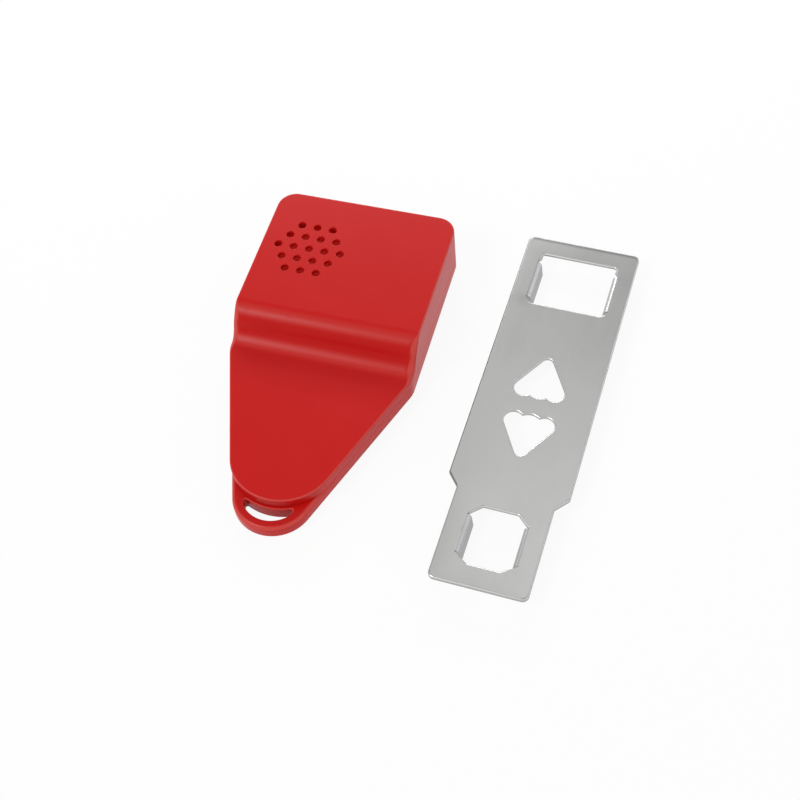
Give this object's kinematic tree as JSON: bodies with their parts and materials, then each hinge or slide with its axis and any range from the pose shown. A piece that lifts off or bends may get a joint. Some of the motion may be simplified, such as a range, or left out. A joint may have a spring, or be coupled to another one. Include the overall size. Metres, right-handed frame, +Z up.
{
  "type": "portable door security alarm with latch plate",
  "caption": "Portable door alarm: a wedge-shaped red plastic housing with a siren grille and key loop, beside the folded steel latch plate it wedges into.",
  "frame": {"origin": "bottom centre of the bounding box of the two pieces, on the surface they lie on", "axes": "+Z up out of the siren grille's face, +Y along the alarm from its key loop to its thick rear end, +X towards the latch plate"},
  "size_m": [0.142, 0.1552, 0.0226],
  "materials": {
    "red_plastic": "satin moulded",
    "black_plastic": "fine texture",
    "plated_steel": "bright zinc plating",
    "screw_steel": "plated",
    "rubber": "matte",
    "board_green": "solder mask",
    "brass": "rolled sheet",
    "ceramic": "matte",
    "coil_brown": "wound wire on ferrite",
    "battery_blue": "printed steel jacket",
    "foam": "open-cell foam",
    "red_lead": "insulation",
    "black_lead": "insulation"
  },
  "bodies": {
    "housing": {"front_shell": "red_plastic", "rear_shell": "red_plastic", "housing_screw_1": "screw_steel", "housing_screw_2": "screw_steel", "housing_screw_3": "screw_steel", "housing_screw_4": "screw_steel", "housing_screw_5": "screw_steel", "rubber_pad_1": "rubber", "rubber_pad_2": "rubber", "rubber_pad_3": "rubber", "rubber_pad_4": "rubber", "rubber_pad_5": "rubber", "trigger_spring": "screw_steel", "circuit_board": "board_green", "board_screw_1": "screw_steel", "board_screw_2": "screw_steel", "tact_switch": "black_plastic", "siren_chip": "black_plastic", "switching_transistor": "black_plastic", "step_up_coil": "coil_brown", "capacitor": "screw_steel", "resistor_1": "black_plastic", "resistor_2": "black_plastic", "sounder_disc": "brass", "sounder_ceramic": "ceramic", "sounder_ring": "black_plastic", "slide_switch": "screw_steel", "battery": "battery_blue", "battery_terminal_1": "screw_steel", "battery_terminal_2": "screw_steel", "battery_snap": "black_plastic", "battery_cushion": "foam", "battery_lead_1": "red_lead", "battery_lead_2": "black_lead", "sounder_lead_1": "red_lead", "sounder_lead_2": "black_lead", "switch_lead_1": "red_lead", "switch_lead_2": "black_lead"},
    "trigger": {"trigger_button": "black_plastic", "tact_stem": "ceramic"},
    "knob": {"switch_knob": "black_plastic"},
    "door": {"battery_door": "red_plastic"},
    "plate": {"latch_plate": "plated_steel"}
  },
  "joints": [
    {"name": "trigger_press", "type": "slide", "parent": "housing", "child": "trigger", "axis": [0, 0, 1], "range_m": [0, 0.0006], "stiffness_N_per_m": 500, "deforming": ["trigger_spring"]},
    {"name": "switch_slide", "type": "slide", "parent": "housing", "child": "knob", "axis": [1, 0, 0], "range_m": [0, 0.003]},
    {"name": "door_slide", "type": "slide", "parent": "housing", "child": "door", "axis": [0, 1, 0], "range_m": [0, 0.056]},
    {"name": "plate_lift", "type": "slide", "parent": "housing", "child": "plate", "axis": [0, 0, 1], "range_m": [0, 0.06]}
  ]
}
